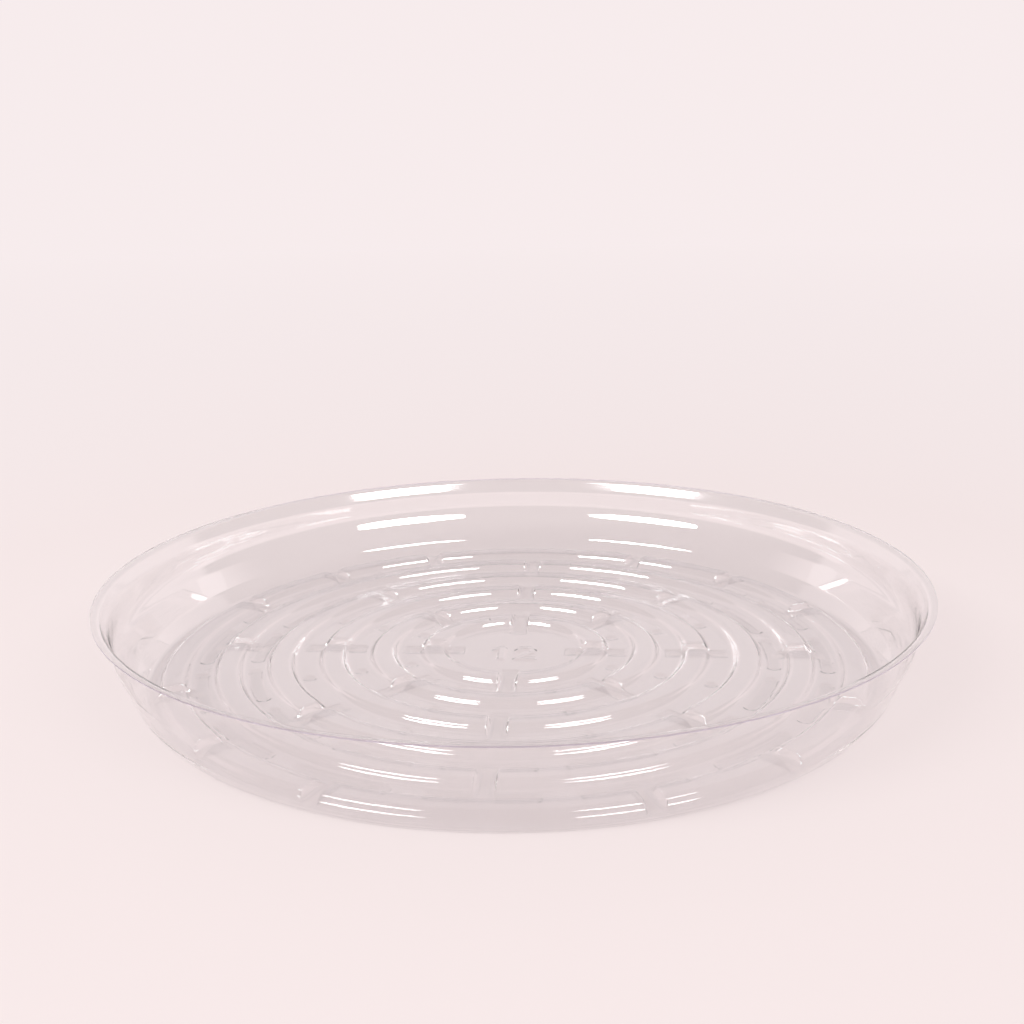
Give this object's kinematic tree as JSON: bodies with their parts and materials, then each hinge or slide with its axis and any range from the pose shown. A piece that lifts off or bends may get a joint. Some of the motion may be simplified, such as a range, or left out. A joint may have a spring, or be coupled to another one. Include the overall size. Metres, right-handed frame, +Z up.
{
  "type": "plant saucer",
  "caption": "Round clear plastic saucer for a plant pot, with a ridged and notched floor that lets water spread, a stepped flared wall and a flat rim.",
  "frame": {"origin": "centre of the circle that the saucer stands on, at the level of the surface under it", "axes": "+Z up through the middle of the dish; +X and +Y through notches of the innermost ridge"},
  "size_m": [0.3048, 0.3048, 0.034],
  "materials": {
    "clear_vinyl": "clear, glossy, thin formed sheet with a faint violet tint at its cut edge"
  },
  "bodies": {
    "root": {"saucer": "clear_vinyl"}
  },
  "joints": []
}
